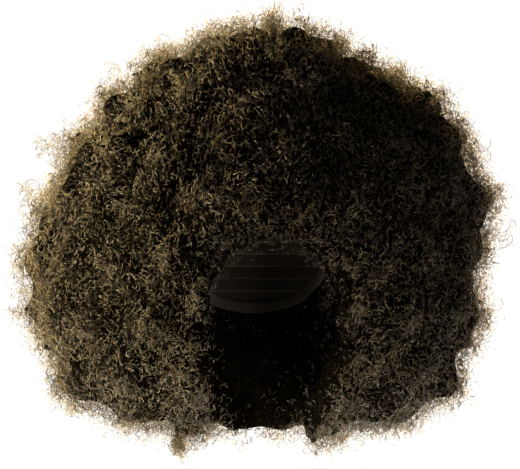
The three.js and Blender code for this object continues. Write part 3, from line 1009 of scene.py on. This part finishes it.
@dataclass
class OuterSkin:
    """One skin round all the hair, which every group's curls grow on, partings too."""

    maker: SkinMaker
    cap_reach: float = 0.008
    inner_share: float = 0.5
    back_share: float = 0.62
    rim_share: float = 1.35
    rim_start: float = -0.05
    back_start: float = 0.06
    least_outward: float = 0.15
    body: Body = field(init=False)
    shares: np.ndarray = field(init=False)
    owners: np.ndarray = field(init=False)

    def build(self, solids: list[Mesh], groups: list[BVHTree],
              cap: list[BVHTree]) -> None:
        """Makes the skin and finds how densely each face takes curls, and of which group.

        Args:
            solids: The groups' solids, reaching into each other.
            groups: The groups' own surfaces.
            cap: The cap and its tapes, beside which no curls grow.
        """
        self.body = self.maker.make(solids, "hair_skin")
        mesh = self.body.data
        centres = columns(mesh.polygons, "center", 3)
        normals = columns(mesh.polygons, "normal", 3)
        rays = centres - np.array(HAIR_CENTRE)
        inside = (rays * normals).sum(1) < self.least_outward * np.linalg.norm(rays, axis=1)
        outer = np.where(centres[:, 1] > self.rim_start, self.rim_share, 1.0)
        outer = np.where(centres[:, 1] > self.back_start, self.back_share, outer)
        self.shares = np.where(inside, self.inner_share, outer)
        self.owners = np.zeros(len(centres), np.int32)
        for index, (centre, normal) in enumerate(zip(centres, normals)):
            place = Vector(centre)
            self.owners[index] = np.argmin([group.find_nearest(place)[3] for group in groups])
            if lies_against(place, Vector(normal), cap, self.cap_reach):
                self.shares[index] = 0.0
        mesh.attributes.new("openness", "FLOAT", "FACE")

    def open_for(self, owner: int) -> None:
        """Lets only the faces of one group take curls."""
        shares = np.where(self.owners == owner, self.shares, 0.0)
        openness = self.body.data.attributes["openness"]
        openness.data.foreach_set("value", shares.astype(np.float32))
        self.body.data.update()


@dataclass
class WeftGroup:
    """One group of weft rows, from the cap's edge out: its mass of hair and its curls."""

    node: str
    overlap: float = 0.004
    clearance: float = 0.0015
    facing_limit: float = -0.6
    solid: Mesh = field(init=False)

    def build(self, neighbours: list[BVHTree]) -> None:
        """Takes the group's solid from the frame and lets it reach over its partings.

        Args:
            neighbours: The other groups' surfaces.
        """
        shape = bmesh.new()
        shape.from_mesh(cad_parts[self.node].data)
        bmesh.ops.remove_doubles(shape, verts=shape.verts, dist=WELD)
        shape.normal_update()
        shifts: dict[bmesh.types.BMVert, Vector] = {}
        for face in shape.faces:
            if lies_against(face.calc_center_median(), face.normal, neighbours,
                            self.clearance, self.facing_limit):
                for corner in face.verts:
                    shifts[corner] = shifts.get(corner, Vector()) + face.normal
        for corner, shift in shifts.items():
            corner.co += shift.normalized() * self.overlap
        self.solid = bpy.data.meshes.new(f"{self.node}_solid")
        shape.to_mesh(self.solid)
        shape.free()

    def dress(self, maker: SkinMaker, mass: MassPattern, curls: CurlPattern,
              skin: Body, beds: tuple[CurlSizes, ...]) -> None:
        """Makes the mass and both halves of the curls, and sets them on the frame.

        Args:
            maker: What makes the mass's skin.
            mass: What makes the mass.
            curls: What makes the curls.
            skin: The skin that the curls grow on, open for this group alone.
            beds: Sizes of the beds of curls, from the deepest out.
        """
        own = maker.make([self.solid], f"{self.node}_skin")
        self.settle(mass.press(own, f"{self.node}_mass"))
        bpy.data.objects.remove(own)
        for half in Half:
            name = f"{self.node}_curls_{half.name.lower()}"
            self.settle(curls.grow(skin, half, beds, name))

    def settle(self, piece: Body) -> None:
        """Sets a finished piece on the frame in the place of the group's solid."""
        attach(piece, "root")
        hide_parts(self.node)
        LOG.info("%s: %d triangles", piece.name, triangles(piece))


def triangles(piece: Body) -> int:
    """How many triangles a piece has."""
    return sum(len(face.vertices) - 2 for face in piece.data.polygons)


def surface_tree(mesh: Mesh) -> BVHTree:
    """A mesh's surface, for finding what lies near it."""
    corners = [corner.co for corner in mesh.vertices]
    return BVHTree.FromPolygons(corners, [tuple(face.vertices) for face in mesh.polygons])


@dataclass
class Cap:
    """The stretch cap, the binding along its front edge and the elastic at its nape."""

    net: NetFinish = NetFinish()
    binding: TapeFinish = TapeFinish(
        "woven_binding", thread=(0.15, 0.122, 0.094), shadow=(0.045, 0.036, 0.027))
    elastic: TapeFinish = TapeFinish(
        "ribbed_elastic", thread=(0.17, 0.145, 0.116), shadow=(0.05, 0.042, 0.034), ribs=0.0019)

    def dress(self) -> None:
        """Gives the cap's CAD pieces their finishes."""
        finishes = ((self.net, "cap_net"), (self.binding, "binding"), (self.elastic, "elastic"))
        for node, (finish, slot) in zip(CAP_NODES, finishes):
            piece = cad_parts[node]
            piece.data.materials.clear()
            piece.data.materials.append(finish.material())
            LOG.info("%s: dressed", node)


@dataclass
class Hair:
    """All the hair: three weft groups from the crown down to the nape."""

    nodes: tuple[str, ...] = ("hair_crown", "hair_sides", "hair_nape")
    beds: tuple[CurlSizes, ...] = (
        CurlSizes(29000.0, -0.0125, 0.003, 0.004, 0.00045, 83),
        CurlSizes(84000.0, -0.0085, 0.008, 0.0027, 0.0003, 11),
        CurlSizes(22500.0, -0.003, 0.015, 0.0031, 0.00025, 47),
    )
    strands: StrandFinish = StrandFinish()
    thick: MassFinish = MassFinish()

    def build(self) -> None:
        """Builds and dresses every weft group."""
        mass = MassPattern(self.thick.material())
        curls = CurlPattern(self.strands.material())
        trees = [surface_tree(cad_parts[node].data) for node in self.nodes]
        groups = [WeftGroup(node) for node in self.nodes]
        for own, group in enumerate(groups):
            group.build(trees[:own] + trees[own + 1:])
        maker = SkinMaker()
        skin = OuterSkin(maker)
        cap = [surface_tree(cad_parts[node].data) for node in CAP_NODES]
        skin.build([group.solid for group in groups], trees, cap)
        around = surface_tree(skin.body.data)
        for own, group in enumerate(groups):
            skin.open_for(own)
            group.dress(maker, mass, curls, skin.body, self.beds)
            locks = StrayLocks(curls.finish)
            group.settle(locks.build(LOCKS[group.node], around, f"{group.node}_ringlets"))
        bpy.data.objects.remove(skin.body)


@dataclass(frozen=True)
class Lamp:
    """A soft square light aimed at the middle of the hair."""

    name: str
    place: Place
    side: float
    power: float
    colour: Colour
    glints: bool = False

    def hang(self) -> None:
        """Hangs the light and aims it."""
        light = bpy.data.lights.new(self.name, "AREA")
        light.size = self.side
        light.energy = self.power
        light.color = self.colour
        lamp = linked(self.name, light)
        lamp.location = self.place
        ray = Vector(HAIR_CENTRE) - lamp.location
        lamp.rotation_euler = ray.to_track_quat("-Z", "Y").to_euler()
        lamp.visible_glossy = self.glints


@dataclass
class Studio:
    """The camera, the lights, the white surroundings and the floor."""

    azimuth: float = -5.5
    elevation: float = 1.0
    distance: float = 2.2
    lens: float = 149.5
    sensor: float = 36.0
    aim: Place = (-0.001, 0.0, -0.069)
    floor_height: float = -1.05
    floor_radius: float = 1.7
    floor_steps: int = 96
    white: Colour = (1.0, 1.0, 1.0)
    surround_colour: Colour = (1.0, 0.95, 0.86)
    surround: float = 0.022
    lamps: tuple[Lamp, ...] = (
        Lamp("key", (-2.1, 0.25, -0.1), 0.6, 92.0, (1.0, 0.95, 0.86)),
        Lamp("low_left", (-1.6, -0.25, -0.65), 0.5, 26.0, (1.0, 0.94, 0.85)),
        Lamp("low_right", (0.45, -1.1, -0.5), 0.3, 2.1, (1.0, 0.97, 0.92), glints=True),
        Lamp("below", (-0.05, -0.12, -0.98), 0.9, 4.4, (1.0, 0.95, 0.87)),
        Lamp("front", (-0.7, -2.0, 0.5), 0.4, 1.3, (1.0, 0.98, 0.95), glints=True),
        Lamp("back_left", (-0.8, 1.8, 0.9), 0.9, 85.0, (1.0, 0.95, 0.86)),
        Lamp("back_right", (0.5, 2.0, 0.35), 0.9, 205.0, (1.0, 0.93, 0.8)),
        Lamp("back_low", (0.5, 1.9, -0.48), 0.7, 130.0, (1.0, 0.93, 0.8)),
    )

    def build(self) -> None:
        """Sets the whole studio up."""
        self._place_camera()
        self._surround()
        for lamp in self.lamps:
            lamp.hang()
        self._lay_floor()

    def _place_camera(self) -> None:
        """Puts the camera where the photo was taken from."""
        turn, rise = math.radians(self.azimuth), math.radians(self.elevation)
        level = math.cos(rise)
        back = Vector((math.sin(turn) * level, -math.cos(turn) * level, math.sin(rise)))
        lens = bpy.data.cameras.new("camera")
        lens.lens = self.lens
        lens.sensor_width = self.sensor
        camera = linked("camera", lens)
        camera.location = Vector(self.aim) + back * self.distance
        camera.rotation_euler = (-back).to_track_quat("-Z", "Y").to_euler()
        scene = bpy.context.scene
        scene.camera = camera
        scene.view_settings.view_transform = "Standard"

    def _surround(self) -> None:
        """Makes the surroundings white to look at and softer as a light."""
        world = bpy.data.worlds.new("white_studio")
        world.use_nodes = True
        world.node_tree.nodes.clear()
        graph = Graph(world.node_tree)
        seen = graph.node("ShaderNodeBackground", None, {"Color": self.white, "Strength": 1.0})
        lit = graph.node("ShaderNodeBackground", None,
                         {"Color": self.surround_colour, "Strength": self.surround})
        direct = graph.node("ShaderNodeLightPath")["Is Camera Ray"]
        both = graph.node("ShaderNodeMixShader", None, {0: direct, 1: lit, 2: seen})
        graph.node("ShaderNodeOutputWorld", None, {"Surface": both})
        bpy.context.scene.world = world

    def _lay_floor(self) -> None:
        """Lays a round pale floor well below the hair."""
        turns = [2.0 * math.pi * step / self.floor_steps for step in range(self.floor_steps)]
        ring = [(self.floor_radius * math.cos(turn), self.floor_radius * math.sin(turn),
                 self.floor_height) for turn in turns]
        mesh = bpy.data.meshes.new("floor")
        mesh.from_pydata(ring, [], [tuple(range(self.floor_steps))])
        mesh.materials.append(FloorFinish().material())
        floor = linked("floor", mesh)
        floor.visible_diffuse = False


def main() -> None:
    """Builds the studio, the cap and the hair."""
    logging.basicConfig(level=logging.INFO, format="%(name)s %(message)s")
    Studio().build()
    Cap().dress()
    Hair().build()


if __name__ == "__main__":
    main()
